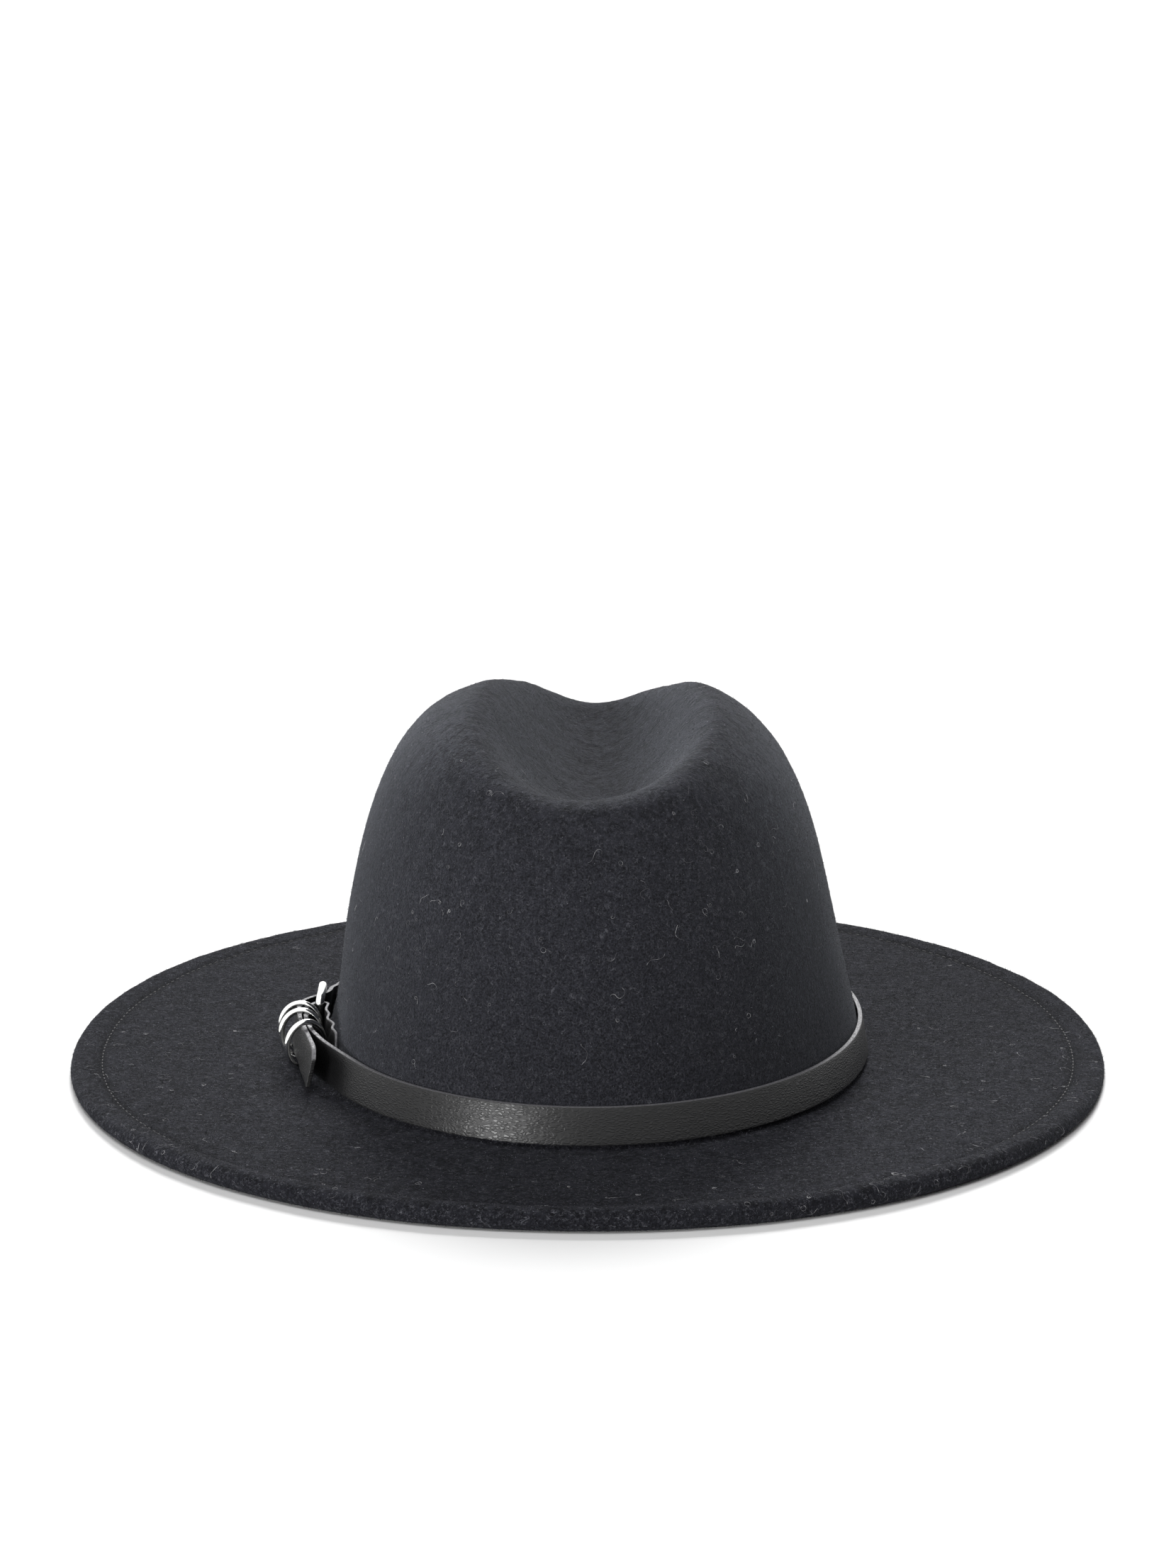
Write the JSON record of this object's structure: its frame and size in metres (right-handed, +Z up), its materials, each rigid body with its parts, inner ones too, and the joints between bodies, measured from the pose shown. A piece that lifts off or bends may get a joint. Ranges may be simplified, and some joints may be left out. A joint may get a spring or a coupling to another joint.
{
  "type": "fedora",
  "caption": "Wide-brimmed dark felt fedora with a teardrop crease, pinched front and a narrow leather strap band fastened by a small buckle and wire rings.",
  "frame": {"origin": "on the plane that the brim's hem rests on, below the middle of the brim", "axes": "+Z up through the crown, +Y towards the front of the hat, where the crown is pinched, and +X towards the wearer's right; the band's buckle is on the -X side"},
  "size_m": [0.3212, 0.3502, 0.1166],
  "materials": {
    "felt": "charcoal wool felt with a short fuzzy nap, matte",
    "strap_leather": "black fine-grained leather, satin, with paler cut edges",
    "polished_metal": "silver plated wire, polished"
  },
  "bodies": {
    "root": {"felt_body": "felt", "hat_band": "strap_leather", "ring_1": "polished_metal", "ring_2": "polished_metal", "ring_3": "polished_metal", "buckle_frame": "polished_metal", "buckle_prong": "polished_metal"}
  },
  "joints": []
}
